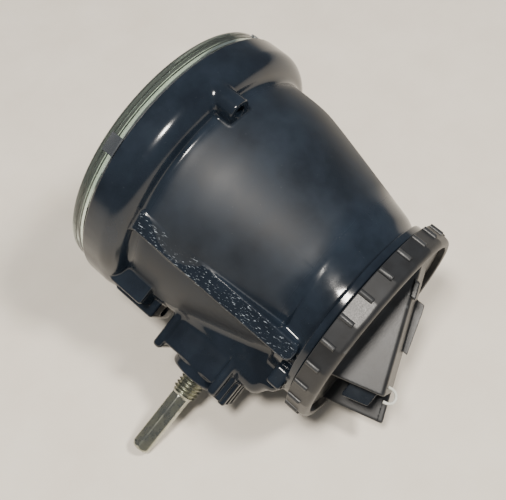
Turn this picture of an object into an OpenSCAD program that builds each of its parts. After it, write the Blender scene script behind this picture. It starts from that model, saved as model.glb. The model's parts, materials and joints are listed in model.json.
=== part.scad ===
// Round fog light lying on a bench, with its lens towards -Y and its rear cap towards +Y.
// Shapes are drawn in the lamp's own frame: +Y runs rearwards along the optical axis from the
// collar's front edge, +X runs out along the aiming screw, and +Z is square to both.
// lamp() then lays that frame on the bench, where it rests on collar, cap ring and screw tip.

/* [Body] */
// Outer radius of the collar that carries the lens
collar_r = 54.5; // [53.5:0.5:55]
// Depth of the collar on the optical axis
collar_depth = 15.5; // [14:0.5:17]
// Outer radius of the barrel behind the collar
barrel_r = 47; // [46:0.5:48]
// Outer radius of the barrel's tail
tail_r = 34; // [33:0.5:35]
// Thickness of the moulded wall
wall = 2.5; // [2:0.1:2.8]

/* [Lens and reflector] */
// Outer radius of the glass
lens_r = 52.7; // [52:0.1:53]
// Length of the glass skirt in front of the collar
lens_skirt = 7.6; // [6:0.2:9]
// Rise of the domed face above the skirt
lens_rise = 5; // [3:0.5:8]
// Radius of the reflector's bright opening
mirror_r = 42; // [40:0.5:42.5]
// Focal length of the reflector
focal = 12; // [11:0.5:13]

/* [Rear cap] */
// Outer radius of the cap ring between its grip ribs
ring_r = 40.6; // [40:0.1:41]
// Distance of the cap's axis from the optical axis, towards the aiming screw
ring_shift = 4.2; // [3.5:0.1:4.5]
// Front face of the cap ring
ring_y = 88.6; // [88.4:0.1:89]
// Length of the cap ring
ring_len = 9; // [8.6:0.1:9.4]
// Number of grip ribs
rib_count = 26; // [24:1:30]

/* [Aiming screw] */
// Place of the screw's axis behind the collar's front edge
screw_y = 55.9; // [55:0.1:57]
// Major diameter of the thread
thread_d = 10; // [10:10]
// Width of the hexagonal shank across its flats
hex_af = 7; // [6:0.5:7.5]
// Distance of the screw's tip from the optical axis
screw_tip = 95; // [90:1:96]

/* [Mounting points] */
// Radius of the circle through the three pilot holes
pilot_circle = 50; // [49.5:0.1:50.5]
// Radius of each pilot hole
pilot_r = 2.1; // [1.8:0.1:2.3]

/* [Resting attitude] */
// Turn about the optical axis that brings the screw's tip down to the bench
roll = 28.6; // [25:0.01:30]
// Tilt that brings the cap ring down to the bench
pitch = 7.3; // [7:0.01:8.5]
// Place of the collar's centre along X, with the whole part centred on the origin
rest_x = -15.17; // [-20:0.01:-10]
// Place of the collar's centre along Y
rest_y = -51.11; // [-60:0.01:-40]
// Height of the collar's centre above the bench
rest_z = 55.12; // [53:0.01:58]

/* [Hidden] */
$fn = 96;

black_gloss = "#1d232c";
black_matt = "#24262a";
steel = "#b9bcc0";
zinc = "#a9ab9c";
brass = "#b08d4a";

rib_phase = 4.5;
rib_len = 5.2;
flange_end = 88.2;
pillar_end = 21.8;
taper_start = 28;
taper_end = 77;
tail_round = 8;
shelf_y = 3;
recess_r = 50.5;
neck_r = 34.5;
neck_end = 92.6;
mirror_depth = mirror_r * mirror_r / (4 * focal);
vertex_y = shelf_y + mirror_depth;
sheet = 1.5;
bulb_hole = 10;
rivet_angles = [30, 150, 210, 330];
plate_y = vertex_y + 2.2;
base_y = plate_y + 1.3;
boss_front = 37.5;
boss_rear = 68;
boss_half = 12;
boss_face = 51;
boss_tip = 60.5;
boss_turn_r = 3.2;
thread_r = thread_d / 2 - 0.05;
washer_x = 45;
nut_x = 51.2;
panel_y = 93;
panel_t = 2.2;
wedge_half = 14.5;
mouth_slope = 16.5;
eps = 0.02;

// Lays the lamp's own frame on the bench.
module lamp() {
    translate([rest_x, rest_y, rest_z]) rotate([-pitch, 0, 0]) rotate([0, roll, 0]) children();
}

// Stands a shape that is drawn along Z on a place of the lamp, pointing along Y or along X.
module along_y(place) { translate(place) rotate([-90, 0, 0]) children(); }
module along_x(place) { translate(place) rotate([0, 90, 0]) children(); }

// Turns an outline of [radius, y] points about an axis along Y.
module turned(outline, shift = 0) {
    along_y([shift, 0, 0]) rotate_extrude() polygon(outline);
}

// Repeats a shape at each angle about an axis along Y, measured from +X towards +Z.
module around(angles, shift = 0) {
    for (a = angles) translate([shift, 0, 0]) rotate([0, -a, 0]) children();
}

// A box given by its lowest and highest corners.
module block(low, high) { translate(low) cube(high - low); }

// Points of an arc from angle a to angle b.
function arc(centre, r, a, b, steps = 8) =
    [for (i = [0:steps]) centre + r * [cos(a + (b - a) * i / steps), sin(a + (b - a) * i / steps)]];

// Outer radius of the barrel at a distance y behind the collar's front edge.
function taper(y) =
    y < taper_start ? barrel_r
    : y > taper_end ? tail_r
    : barrel_r - (barrel_r - tail_r) * (1 - cos(180 * (y - taper_start) / (taper_end - taper_start))) / 2;

function barrel_outline(skin) = concat(
    [[0, 2], [barrel_r - skin, 2]],
    [for (y = [taper_start:3.5:taper_end]) [taper(y) - skin, y]],
    arc([tail_r - tail_round, taper_end + 3], tail_round - skin, 0, 80),
    [[0, taper_end + 3 + (tail_round - skin) * sin(80)]]);

// ---- Body moulding ----

module collar() {
    corner = 7.5;
    turned(concat([[0, 0], [collar_r, 0]], arc([collar_r - corner, collar_depth - corner], corner, 0, 90),
                  [[0, collar_depth]]));
}

// Keel on the screw's side: its side view and its cross-section cut from one block.
module keel() {
    intersection() {
        translate([0, 0, -40]) linear_extrude(80)
            polygon(concat([[0, 12], [47.5, 12], [47.5, 30], [44.5, 35], [44.5, 70], [50, 71]],
                           arc([44, 76], 6.5, 10, 75), [[36, 87], [0, 87]]));
        along_y([0, 10, 0]) linear_extrude(80)
            polygon(concat([[0, 20], [30, 20]], arc([42, 24], 12, 196, 262), [[53, 11.5]],
                           [[53, -11.5]], arc([42, -24], 12, 98, 164), [[30, -20], [0, -20]]));
    }
}

// Flat raised rail along the flank, with a rounded rear end; side is 1 or -1.
module rail(side) {
    length = 70;
    width = 9.5;
    round = 3.5;
    mirror([0, 0, side > 0 ? 0 : 1])
        translate([26, 12, 42]) rotate([-12, 0, -2.8]) rotate([0, 38, 0])
        translate([0, 0, -6]) linear_extrude(6) {
            translate([-width / 2, 0]) square([width, length - round]);
            for (x = [-1, 1]) translate([x * (width / 2 - round), length - round]) circle(round);
            translate([round - width / 2, 0]) square([width - 2 * round, length]);
        }
}

// Rounded ridge behind the collar with a pilot hole in its end.
module pillar() {
    block([pilot_circle - 8, 3, -4.5], [pilot_circle, pillar_end, 4.5]);
    along_y([pilot_circle, 3, 0]) cylinder(r = 4.5, h = pillar_end - 3);
}

// Stepped lug under the collar on the screw's side, around the third pilot hole.
module lug() {
    block([42, 4, -5], [54.2, 17.4, 5]);
    block([42, 17, -3.8], [53, 18.6, 3.8]);
    block([42, 18.4, -5], [55.2, 28.5, 5]);
}

// Boss for the aiming screw: two rounded walls with a guide tube between them.
module boss() {
    block([30, boss_front + 3, -boss_half], [boss_face, boss_rear - 3, boss_half]);
    for (y = [boss_front, boss_rear - 2 * boss_turn_r], z = [-1, 1])
        along_x([38, y + boss_turn_r, z * (boss_half - boss_turn_r + 1)])
            cylinder(r = boss_turn_r, h = boss_tip - 39);
    for (y = [boss_front, boss_rear - 2 * boss_turn_r])
        block([38, y, boss_turn_r - boss_half - 1],
              [boss_tip - 1, y + 2 * boss_turn_r, boss_half - boss_turn_r + 1]);
    along_x([38, screw_y, 0]) cylinder(r = 11.2, h = boss_tip - 38);
    // Ribbed tab behind the rear wall
    block([48, boss_rear - 2, -7], [60, boss_rear + 2.4, 9]);
    for (z = [-5.5, -0.5, 4.5]) block([48, boss_rear + 2, z], [61, boss_rear + 3.6, z + 2.4]);
}

// Neck with the flange behind the barrel and three bayonet lugs for the cap.
module neck() {
    turned([[0, 76], [neck_r, 76], [neck_r, neck_end], [0, neck_end]], ring_shift);
    turned([[0, 84], [36.8, 84.8], [37.8, 85.8], [37.8, flange_end], [36.6, flange_end],
            [36.6, flange_end - 1.8], [0, flange_end - 1.8]], ring_shift);
    intersection() {
        turned([[neck_r - 1, 90.5], [36.6, 90.5], [36.6, neck_end], [neck_r - 1, neck_end]], ring_shift);
        around([30, 150, 270], ring_shift) block([0, 80, -9], [60, 100, 9]);
    }
    // Stop block and catch on the flange, beside the keel
    for (z = [10, 17.5]) block([34.5, 80, z], [40.6, 86, z + 4.2]);
}

module housing() {
    color(black_gloss) lamp() difference() {
        union() {
            turned(barrel_outline(0));
            collar();
            keel();
            rail(1);
            rail(-1);
            around([120, 240]) pillar();
            lug();
            boss();
            neck();
            // Ring inside the barrel that takes the reflector's screws
            around([30, 150, 270]) along_y([31, 30, 0]) cylinder(r = 4, h = 10);
        }
        difference() {
            turned(barrel_outline(wall));
            around([30, 150, 270]) {
                along_y([31, 33, 0]) cylinder(r = 3.6, h = 22);
                block([31, 33, -1.2], [48, 55, 1.2]);
            }
        }
        turned([[0, -1], [recess_r, -1], [recess_r, shelf_y], [0, shelf_y]]);
        turned([[0, 76], [neck_r - wall, 76], [neck_r - wall, 95], [0, 95]], ring_shift);
        around([0, 120, 240]) along_y([pilot_circle, 14, 0]) cylinder(r = pilot_r, h = 20);
        around([30, 150, 270]) along_y([31, 30, 0]) cylinder(r = 1.6, h = 12);
        // Guide bore for the nut, square guide for the stop washer
        along_x([nut_x - 0.4, screw_y, 0]) cylinder(r = 7.5, h = 20);
        block([39.3, screw_y - 6.4, -6.4], [nut_x - 0.39, screw_y + 6.4, 6.4]);
    }
}

// ---- Lens ----

module lens() {
    rise_r = (pow(lens_r - 1, 2) + pow(lens_rise, 2)) / (2 * lens_rise);
    thick = 3.2;
    top = -lens_skirt;
    half = asin((lens_r - 1) / rise_r);
    inner_half = asin((lens_r - 4.2) / (rise_r - thick));
    outer = [for (i = [0:12]) [rise_r * sin(half * i / 12), top - lens_rise + rise_r * (1 - cos(half * i / 12))]];
    inner = [for (i = [12:-1:0]) [(rise_r - thick) * sin(inner_half * i / 12),
             top - lens_rise + rise_r - (rise_r - thick) * cos(inner_half * i / 12)]];
    color([0.8, 0.87, 0.84, 0.35]) lamp()
        turned(concat(outer, [[lens_r, top + 1], [lens_r, -1.25], [lens_r - 4.2, -1.25]], inner));
}

module lens_seal() {
    color("#3b3d40") lamp()
        turned([[49, -1.2], [52.9, -1.2], [52.9, -eps], [recess_r - 0.1, -eps], [recess_r - 0.1, 0.9], [49, 0.9]]);
}

module lens_clips() {
    angles = [for (i = [0:3]) 80 + 90 * i];
    color(steel) lamp() intersection() {
        turned([[lens_r + 0.05, -5.6], [lens_r + 0.75, -5.6], [lens_r + 0.75, -0.75], [collar_r - 0.2, -0.75],
                [collar_r - 0.2, -0.05], [lens_r + 0.25, -0.05], [lens_r + 0.25, -1.3], [lens_r + 0.05, -1.3]]);
        around(angles) block([40, -8, -3.5], [60, 2, 3.5]);
    }
}

// ---- Reflector and bulb ----

function mirror_line(grow) =
    [for (i = [0:16]) let (r = bulb_hole + (mirror_r - bulb_hole) * i / 16)
        [r + grow * 0.75, vertex_y - r * r / (4 * focal) + grow * 0.75]];

module reflector() {
    front = mirror_line(0);
    back = mirror_line(sheet);
    flange = [[49.6, shelf_y - 1.3], [49.6, shelf_y - 0.1], [mirror_r + 2.2, shelf_y - 0.1]];
    color("#d6d9dc") lamp() difference() {
        union() {
            turned(concat(front, [[mirror_r, shelf_y - 1.3]], flange, [for (i = [16:-1:0]) back[i]],
                          [[bulb_hole, plate_y - 0.1]]));
            around([30, 150, 270]) along_y([31, 24, 0]) cylinder(r = 4.4, h = 5.8);
        }
        around([30, 150, 270]) along_y([31, 10, 0]) cylinder(r = 1.9, h = 30);
    }
}

module reflector_screws() {
    color(steel) lamp() around([30, 150, 270]) {
        along_y([31, 21.4, 0]) cylinder(r = 3.2, h = 2.4);
        along_y([31, 23.7, 0]) cylinder(r = 1.6, h = 15);
    }
}

// Cup in front of the bulb that hides its direct glare, on one leg.
module bulb_shield() {
    color("#2b2d30") lamp() {
        turned([[0, 8], [7, 8], [9, 10], [9, 19], [8.2, 19], [8.2, 10.4], [6.6, 8.8], [0, 8.8]]);
        block([-2.5, 17, 8.3], [2.5, 17.8, 26.6]);
        block([-2.5, 17, 25.8], [2.5, 24.6, 26.6]);
        block([-5, 24, 25.8], [5, 24.8, 30.6]);
    }
}

module shield_rivets() {
    color(steel) lamp() for (x = [-3, 3]) along_y([x, 23, 28.4]) cylinder(r = 1.1, h = 1);
}

module bulb_holder() {
    color(steel) lamp() difference() {
        turned([[bulb_hole - 2.6, plate_y], [19, plate_y], [19, plate_y + 1.2], [bulb_hole - 2.6, plate_y + 1.2]]);
        around(rivet_angles) along_y([16.2, plate_y - 1, 0]) cylinder(r = 1.3, h = 4);
    }
}

module holder_rivets() {
    color("#8f9296") lamp() around(rivet_angles) {
        along_y([16.2, plate_y + 0.02, 0]) cylinder(r = 1.28, h = 1.2);
        along_y([16.2, plate_y + 1.22, 0]) cylinder(r = 2.2, h = 0.7);
    }
}

module bulb_glass() {
    r = 5.6;
    tip = 17;
    inner = r - 0.8;
    color([0.85, 0.9, 0.95, 0.35]) lamp()
        turned(concat(arc([0, tip + r], r, -90, 0, 10), [[r, base_y - 2.2], [inner, base_y - 2.2]],
                      arc([0, tip + r], inner, 0, -90, 10)));
}

module bulb_base() {
    color(steel) lamp() {
        turned([[0, base_y - 2.2], [7.2, base_y - 2.2], [7.2, base_y], [11.5, base_y], [11.5, base_y + 1.2],
                [7.6, base_y + 1.2], [7.6, base_y + 8], [6.8, base_y + 8.8], [0, base_y + 8.8]]);
    }
}

module bulb_filament() {
    color("#8c8478") lamp() difference() {
        along_x([-3, vertex_y - focal, 0]) cylinder(r = 0.7, h = 6);
        along_x([-3.5, vertex_y - focal, 0]) cylinder(r = 0.3, h = 7);
    }
    color("#8c8478") lamp() for (x = [-3.1, 3.1])
        along_y([x, vertex_y - focal, 0]) cylinder(r = 0.25, h = base_y - 2.2 - vertex_y + focal);
}

module bulb_blades() {
    color(brass) lamp() for (x = [-3.4, 3.4])
        block([x - 0.4, base_y + 8.82, -3.1], [x + 0.4, base_y + 16.5, 3.1]);
}

// Spring wire that swings over the bulb's base; its two legs meet only at the pivot.
module bulb_clip() {
    wire = 0.7;
    y = base_y + 2.4;
    color(steel) lamp() {
        along_x([-9.4, y, 16]) cylinder(r = wire, h = 18.8);
        for (x = [-9.4, 9.4]) {
            translate([x, y, -14.6]) cylinder(r = wire, h = 30.6);
            translate([x, y, 16]) sphere(wire);
            translate([x, y, -14.6]) sphere(wire);
            along_x([x < 0 ? x - 3 : x, y, -14.6]) cylinder(r = wire, h = 3);
        }
    }
}

// Hooks on the holder: a bearing pair for the clip's pivot and a catch for each leg.
module clip_hooks() {
    y = base_y + 2.4;
    color(steel) lamp() {
        for (x = [-6, 3.4]) difference() {
            block([x, plate_y + 1.22, 14.6], [x + 2.6, y + 1.6, 17.6]);
            along_x([x - 1, y, 16]) cylinder(r = 0.76, h = 5);
        }
        for (x = [-1, 1]) {
            block([min(x * 10.9, x * 12), plate_y + 1.22, -12.4], [max(x * 10.9, x * 12), y + 2.2, -11.4]);
            block([min(x * 8, x * 12), y + 1.4, -12.4], [max(x * 8, x * 12), y + 2.2, -11.4]);
        }
    }
}

module lead_sockets() {
    y = base_y + 9.6;
    color("#c9b26a") lamp() for (x = [-3.4, 3.4]) difference() {
        block([x - 1.5, y, -4], [x + 1.5, y + 9, 4]);
        block([x - 0.46, y - 1, -3.2], [x + 0.46, y + 7.4, 3.2]);
    }
}

// Two insulated leads from the bulb's sockets towards the tails of the cap's pins.
module inner_leads() {
    r = 1.1;
    y0 = base_y + 18.5;
    stops = [[0, 0, 0], [0, 6, 0], [2.4, 13, 3], [4.6, 20.5, 3]];
    color("#5a2020") lamp() for (side = [-1, 1]) {
        path = [for (s = stops) [side * 3.4 + s[0], y0 + s[1], side * s[2]]];
        for (i = [0:len(path) - 2]) {
            step = path[i + 1] - path[i];
            run = norm(step);
            translate(path[i]) rotate([0, acos(step[2] / run), atan2(step[1], step[0])]) cylinder(r = r, h = run);
            if (i > 0) translate(path[i]) sphere(r + 0.08);
        }
    }
}

// ---- Rear cap ----

module cap_ring() {
    far = ring_y + ring_len;
    round = 2.2;
    color(black_matt) lamp() {
        difference() {
            union() {
                along_y([ring_shift, ring_y, 0]) linear_extrude(ring_len - round)
                    polygon([for (i = [0:rib_count - 1]) let (a = -rib_phase - 360 * i / rib_count)
                        ring_r * [cos(a), sin(a)]]);
                turned(concat([[36, ring_y + 2]], [[ring_r - 0.6, ring_y + 2]],
                              arc([ring_r - 0.6 - round, far - round], round, 0, 90, 6), [[36, far]]), ring_shift);
            }
            turned([[0, ring_y - 1], [37.2, ring_y - 1], [37.2, far + 1], [0, far + 1]], ring_shift);
        }
        around([for (i = [0:rib_count - 1]) rib_phase + 360 * i / rib_count], ring_shift)
            block([ring_r - 1, ring_y + 0.4, -1.1], [ring_r + 0.9, ring_y + 0.4 + rib_len, 1.1]);
        // Bayonet hooks that sit in front of the neck's lugs
        intersection() {
            turned([[35, ring_y + 0.1], [37.4, ring_y + 0.1], [37.4, ring_y + 1.3], [35, ring_y + 1.3]], ring_shift);
            around([30, 150, 270], ring_shift) block([0, 80, -9], [60, 100, 9]);
        }
    }
}

// Side view of the connector housing, shrunk inwards by a margin for its hollow.
function wedge_side(margin) = [
    [-24 + 4.5 * margin, 93 + margin], [30, 93 + margin], [30, 119.6 - 1.35 * margin],
    [19.6, 114.5 - 1.1 * margin], [-24 + 4.5 * margin, 97.2 - margin * 0.2]];

// Half space that ends a wall of the mouth at a distance along X, leaning with the mouth.
module mouth_cut(reach) {
    translate([reach, 95, -60]) rotate([0, 0, mouth_slope]) translate([0, -60, 0]) cube([80, 120, 120]);
}

module cap_shell() {
    color(black_matt) lamp() difference() {
        union() {
            turned([[0, panel_y], [37.1, panel_y], [37.1, panel_y + panel_t], [0, panel_y + panel_t]], ring_shift);
            difference() {
                translate([0, 0, -wedge_half]) linear_extrude(2 * wedge_half) polygon(wedge_side(0));
                mouth_cut(25.6);
            }
            // Lower wall of the mouth, longer than the upper one
            difference() {
                translate([0, 0, -wedge_half]) linear_extrude(2.5)
                    polygon([[0, panel_y], [44, panel_y + 2], [44, 120], [19.6, 114.5], [0, 106.5]]);
                mouth_cut(37.5);
            }
            // Stiffening fin, raised pad and loop seat on the sloping back
            translate([0, 0, -9]) linear_extrude(1.6) polygon([[-13, 100], [-8, 105.6], [5, 110], [5, 107]]);
            translate([0, 0, 8]) linear_extrude(4.5) polygon([[-18, 98.5], [-17.6, 100.8], [-12.6, 102.9], [-12, 101]]);
        }
        // Socket cavity, open through the mouth
        difference() {
            translate([0, 0, 2.2 - wedge_half]) linear_extrude(2 * wedge_half - 4.4)
                polygon([[4, panel_y + panel_t + 0.2], [60, panel_y + panel_t + 0.2], [60, 129], [19, 112.3], [4, 106.2]]);
            block([-30, 80, -20], [4, 130, 20]);
        }
        for (z = [-8.6, -3.4]) block([6.4, panel_y - 1, z - 1.2], [9.6, panel_y + 3, z + 1.2]);
    }
}

module connector_tongue() {
    color("#15171b") lamp() difference() {
        translate([0, 0, -1.2]) linear_extrude(7)
            polygon([[4.1, 101.4], [40, 101.4], [40, 111.4], [19.4, 111.4], [4.1, 104.9]]);
        mouth_cut(31.2);
    }
}

module connector_pins() {
    color(brass) lamp() for (z = [-8.6, -3.4]) {
        block([6.6, panel_y - 5, z - 0.4], [9.4, 103.5, z + 0.4]);
        block([6.6, 101.5, z - 0.4], [18, 103.5, z + 0.4]);
    }
}

// Wire loop at the tip of the housing that a plug's latch clips over.
module latch_loop() {
    color("#d9dad6") lamp() translate([18.2, 113.9, 5]) rotate([0, 0, 22]) {
        for (z = [0, 6]) along_y([0, 0, z]) cylinder(r = 0.6, h = 3.4);
        translate([0, 3.4, 0]) cylinder(r = 0.6, h = 6);
        for (z = [0, 6]) translate([0, 3.4, z]) sphere(0.6);
    }
}

module cap_seal() {
    color("#2a2c2e") lamp() along_y([ring_shift, flange_end - 0.9, 0])
        rotate_extrude() translate([neck_r + 1.05, 0]) circle(0.9);
}

module breather() {
    y = panel_y + panel_t;
    color("#3a3c40") lamp() {
        along_y([-14, y, -23]) cylinder(r = 5, h = 1.6);
        along_y([-14, y + 1.6, -23]) cylinder(r = 3.2, h = 0.8);
    }
}

// ---- Aiming screw ----

module aim_nut() {
    color(brass) lamp() difference() {
        along_x([nut_x, screw_y, 0]) cylinder(r = 7.48, h = 8.6);
        along_x([nut_x - 1, screw_y, 0]) cylinder(r = thread_d / 2, h = 12);
    }
}

module aim_seal() {
    color("#1a1a1a") lamp() difference() {
        along_x([nut_x + 8.7, screw_y, 0]) cylinder(r = 7.4, h = boss_tip - nut_x - 8.7);
        along_x([nut_x, screw_y, 0]) cylinder(r = thread_d / 2 + 0.4, h = 20);
    }
}

module stop_washer() {
    color(steel) lamp() difference() {
        block([washer_x, screw_y - 6, -6], [washer_x + 1.5, screw_y + 6, 6]);
        along_x([washer_x - 1, screw_y, 0]) cylinder(r = 3.05, h = 4);
    }
}

module aim_screw() {
    free_start = boss_tip + 0.9;
    hex_start = 69.3;
    hex_r = hex_af / 2 / cos(30);
    color(zinc) lamp() {
        along_x([washer_x - 1.9, screw_y, 0]) cylinder(r = 4.2, h = 1.6);
        along_x([washer_x - 0.4, screw_y, 0]) cylinder(r = 3, h = 2.4);
        along_x([washer_x + 1.8, screw_y, 0]) cylinder(r = thread_r, h = boss_tip - washer_x - 1.8);
        along_x([boss_tip - 0.1, screw_y, 0]) cylinder(r = thread_r - 0.6, h = free_start - boss_tip + 0.2);
        along_x([free_start, screw_y, 0]) cylinder(r = thread_r, h = hex_start - free_start);
        along_x([hex_start, screw_y, 0]) cylinder(r1 = thread_r, r2 = hex_af / 2, h = 1.6);
        intersection() {
            along_x([hex_start - 1, screw_y, 0]) cylinder(r = hex_r, h = screw_tip - hex_start + 1, $fn = 6);
            along_x([hex_start - 1, screw_y, 0]) cylinder(r = hex_r + 0.1, h = screw_tip - hex_start - 0.4);
        }
        intersection() {
            along_x([hex_start - 1, screw_y, 0]) cylinder(r = hex_r, h = screw_tip - hex_start + 1, $fn = 6);
            along_x([screw_tip - 1.4, screw_y, 0]) cylinder(r1 = hex_r + 0.1, r2 = hex_af / 2 - 0.5, h = 1.4);
        }
    }
}

housing();
lens();
lens_seal();
lens_clips();
reflector();
reflector_screws();
bulb_shield();
shield_rivets();
bulb_holder();
holder_rivets();
bulb_glass();
bulb_base();
bulb_filament();
bulb_blades();
bulb_clip();
clip_hooks();
lead_sockets();
inner_leads();
cap_ring();
cap_shell();
connector_tongue();
connector_pins();
latch_loop();
cap_seal();
breather();
aim_nut();
aim_seal();
stop_washer();
aim_screw();
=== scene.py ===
"""A round fog light on a bench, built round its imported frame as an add-on of one operator a piece."""

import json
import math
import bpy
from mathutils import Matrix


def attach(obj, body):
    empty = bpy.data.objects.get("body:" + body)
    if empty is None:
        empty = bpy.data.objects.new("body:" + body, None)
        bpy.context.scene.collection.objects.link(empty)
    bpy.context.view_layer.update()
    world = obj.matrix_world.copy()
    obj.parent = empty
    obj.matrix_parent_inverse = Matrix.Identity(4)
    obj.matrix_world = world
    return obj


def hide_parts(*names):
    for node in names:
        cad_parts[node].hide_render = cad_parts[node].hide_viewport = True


bl_info = {
    "name": "Bench Fog Light",
    "version": (1, 0, 0),
    "blender": (4, 5, 0),
    "location": "View3D > Sidebar > Fog Light",
    "description": "Builds a round fog light with its bayonet cap and aiming screw",
    "category": "Add Mesh",
}

from functools import partial

import bpy
import numpy as np
from bpy.props import FloatProperty, IntProperty, PointerProperty, StringProperty
from mathutils import Matrix, Vector

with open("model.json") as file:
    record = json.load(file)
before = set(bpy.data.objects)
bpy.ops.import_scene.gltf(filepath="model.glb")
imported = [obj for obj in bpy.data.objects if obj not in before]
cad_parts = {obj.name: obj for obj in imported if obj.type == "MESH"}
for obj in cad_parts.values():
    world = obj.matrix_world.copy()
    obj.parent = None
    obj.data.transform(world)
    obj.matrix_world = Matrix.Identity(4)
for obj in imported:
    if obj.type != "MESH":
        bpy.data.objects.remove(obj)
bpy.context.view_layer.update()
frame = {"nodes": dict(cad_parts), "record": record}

MM = 0.001
PILLAR_MOUNT_Y = 20.0  # the pillar mount's place behind the collar's front edge

# Hidden sizes in millimetres, in the lamp's own frame
FIXING_R = 50  # distance of the three fixing points from the lamp's axis
BARREL_END = 88
CHAMBER_R = 50.5  # recess that the reflector's flange sits in
NECK_R, NECK_END = 34.5, 92.6
FLANGE_R, FLANGE_START, FLANGE_END = 37.8, 85.0, 88.2
PANEL_R, PANEL_START, PANEL_END = 37.1, 93, 95.2
RING_FRONT, RING_FAR = 88.6, 97.6
BOWL_FOCAL, BOWL_OPENING, BOWL_SHELF = 12.0, 42.0, 3.0
BOWL_VERTEX = BOWL_SHELF + BOWL_OPENING**2 / (4 * BOWL_FOCAL)
BULB_BASE = BOWL_VERTEX + 3.5


# ---------------------------------------------------------------- lamp frame


def lamp_matrix():
    """Lamp millimetres (X along the screw, Y rearwards, Z square to both) to row metres."""
    record = frame["record"]
    joints = {j["name"]: j for j in record["behaviour"]["joints"]}
    mounts = {m["name"]: m for m in record["mounts"]}
    along_x = Vector(joints["aim_travel"]["axis"]).normalized()
    along_y = Vector(joints["cap_turn"]["axis"]).normalized()
    along_z = along_x.cross(along_y)
    origin = Vector(mounts["mounting_pillars"]["pos_m"]) - along_y * PILLAR_MOUNT_Y * MM
    turn = Matrix((along_x, along_y, along_z)).transposed().to_4x4()
    return Matrix.Translation(origin) @ turn @ Matrix.Scale(MM, 4)


LAMP = lamp_matrix()


# ---------------------------------------------------------------- properties


def millimetres(name, text, value, low, high):
    """A size property in millimetres."""
    return FloatProperty(name=name, description=text, default=value, min=low, max=high, unit="NONE")


def colour(name, text, value):
    """A colour property held as an sRGB hex value."""
    return StringProperty(name=name, description=text, default=value, maxlen=7)


class FogLightSizes(bpy.types.PropertyGroup):
    """Sizes of the lamp's visible pieces, in millimetres."""

    collar_r: millimetres("Collar radius", "Outer radius of the collar", 54.5, 50, 56)
    collar_depth: millimetres("Collar depth", "Depth of the collar on the axis", 15.5, 12, 18)
    barrel_r: millimetres("Barrel radius", "Outer radius behind the collar", 47, 44, 50)
    tail_r: millimetres("Tail radius", "Outer radius at the barrel's tail", 34, 30, 38)
    wall: millimetres("Wall", "Thickness of the moulded wall", 2.5, 1.5, 4)
    lens_r: millimetres("Lens radius", "Outer radius of the glass", 52.7, 50, 54)
    lens_skirt: millimetres("Lens skirt", "Length of the glass skirt", 7.6, 5, 9)
    lens_rise: millimetres("Lens rise", "Rise of the domed face", 5, 3, 8)
    ring_r: millimetres("Ring radius", "Radius of the cap ring", 40.6, 38, 42)
    ring_shift: millimetres("Ring shift", "Offset of the cap's axis", 4.2, 0, 6)
    screw_y: millimetres("Screw place", "Place of the aiming screw", 55.9, 50, 60)
    thread_pitch: millimetres("Thread pitch", "Pitch of the M10 thread", 1.5, 1, 2)
    hex_af: millimetres("Hexagon", "Hexagonal shank across its flats", 7, 6, 8)
    screw_tip: millimetres("Screw tip", "Distance of the tip from the axis", 95, 90, 96)
    rib_count: IntProperty(name="Grip ribs", description="Ribs on the cap ring", default=26)


class FogLightColours(bpy.types.PropertyGroup):
    """Colours of the finishes, as sRGB hex values."""

    body: colour("Body", "Gloss moulded body", "#121820")
    cap: colour("Cap", "Satin moulded cap", "#1a1b1d")
    glass: colour("Glass", "Pressed lens glass", "#dfeee6")
    zinc: colour("Zinc", "Plated aiming screw", "#b9bbb0")
    floor: colour("Floor", "Pale bench", "#d9d3c8")


# ---------------------------------------------------------------- materials

NOISE, RANGE = "ShaderNodeTexNoise", "ShaderNodeMapRange"
MIX, BUMP = "ShaderNodeMix", "ShaderNodeBump"


def linear(code):
    """An sRGB hex value as linear red, green, blue and alpha."""
    parts = [int(code[i : i + 2], 16) / 255 for i in (1, 3, 5)]
    return tuple(c / 12.92 if c <= 0.04045 else ((c + 0.055) / 1.055) ** 2.4 for c in parts) + (1.0,)


def add_node(tree, kind, settings=None, links=None, out=0):
    """Adds a node; settings are attributes or inputs by name or index. Returns one output."""
    made = tree.nodes.new(kind)
    for key, value in (settings or {}).items():
        if isinstance(key, str) and hasattr(made, key):
            setattr(made, key, value)
        else:
            made.inputs[key].default_value = value
    for key, socket in (links or {}).items():
        tree.links.new(socket, made.inputs[key])
    return made.outputs[out]


def new_material(name):
    """An empty node material, what adds nodes to it, and its object coordinates in metres."""
    made = bpy.data.materials.new(name)
    made.use_nodes = True
    made.node_tree.nodes.clear()
    add = partial(add_node, made.node_tree)
    return made, add, add("ShaderNodeTexCoord", out="Object")


def finish_material(made, add, settings, links):
    """Closes a material with a Principled shader."""
    surface = add("ShaderNodeBsdfPrincipled", settings, links)
    end = made.node_tree.nodes.new("ShaderNodeOutputMaterial")
    made.node_tree.links.new(surface, end.inputs["Surface"])
    return made


def per_mm(size):
    """Texture scale that gives one feature in so many millimetres."""
    return 1 / (size * MM)


def ramp(low, high, to_low, to_high):
    """Settings that map one range of values to another."""
    return {"From Min": low, "From Max": high, "To Min": to_low, "To Max": to_high}


def two_tones(first, second):
    """Settings that mix two hex colours."""
    return {"data_type": "RGBA", 6: linear(first), 7: linear(second)}


def over(colour_code):
    """Settings that lay a hex colour over a linked one."""
    return {"data_type": "RGBA", 7: linear(colour_code)}


def bump_by(depth_mm, strength):
    """Settings of a relief so many millimetres deep."""
    return {"Distance": depth_mm * MM, "Strength": strength}


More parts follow.
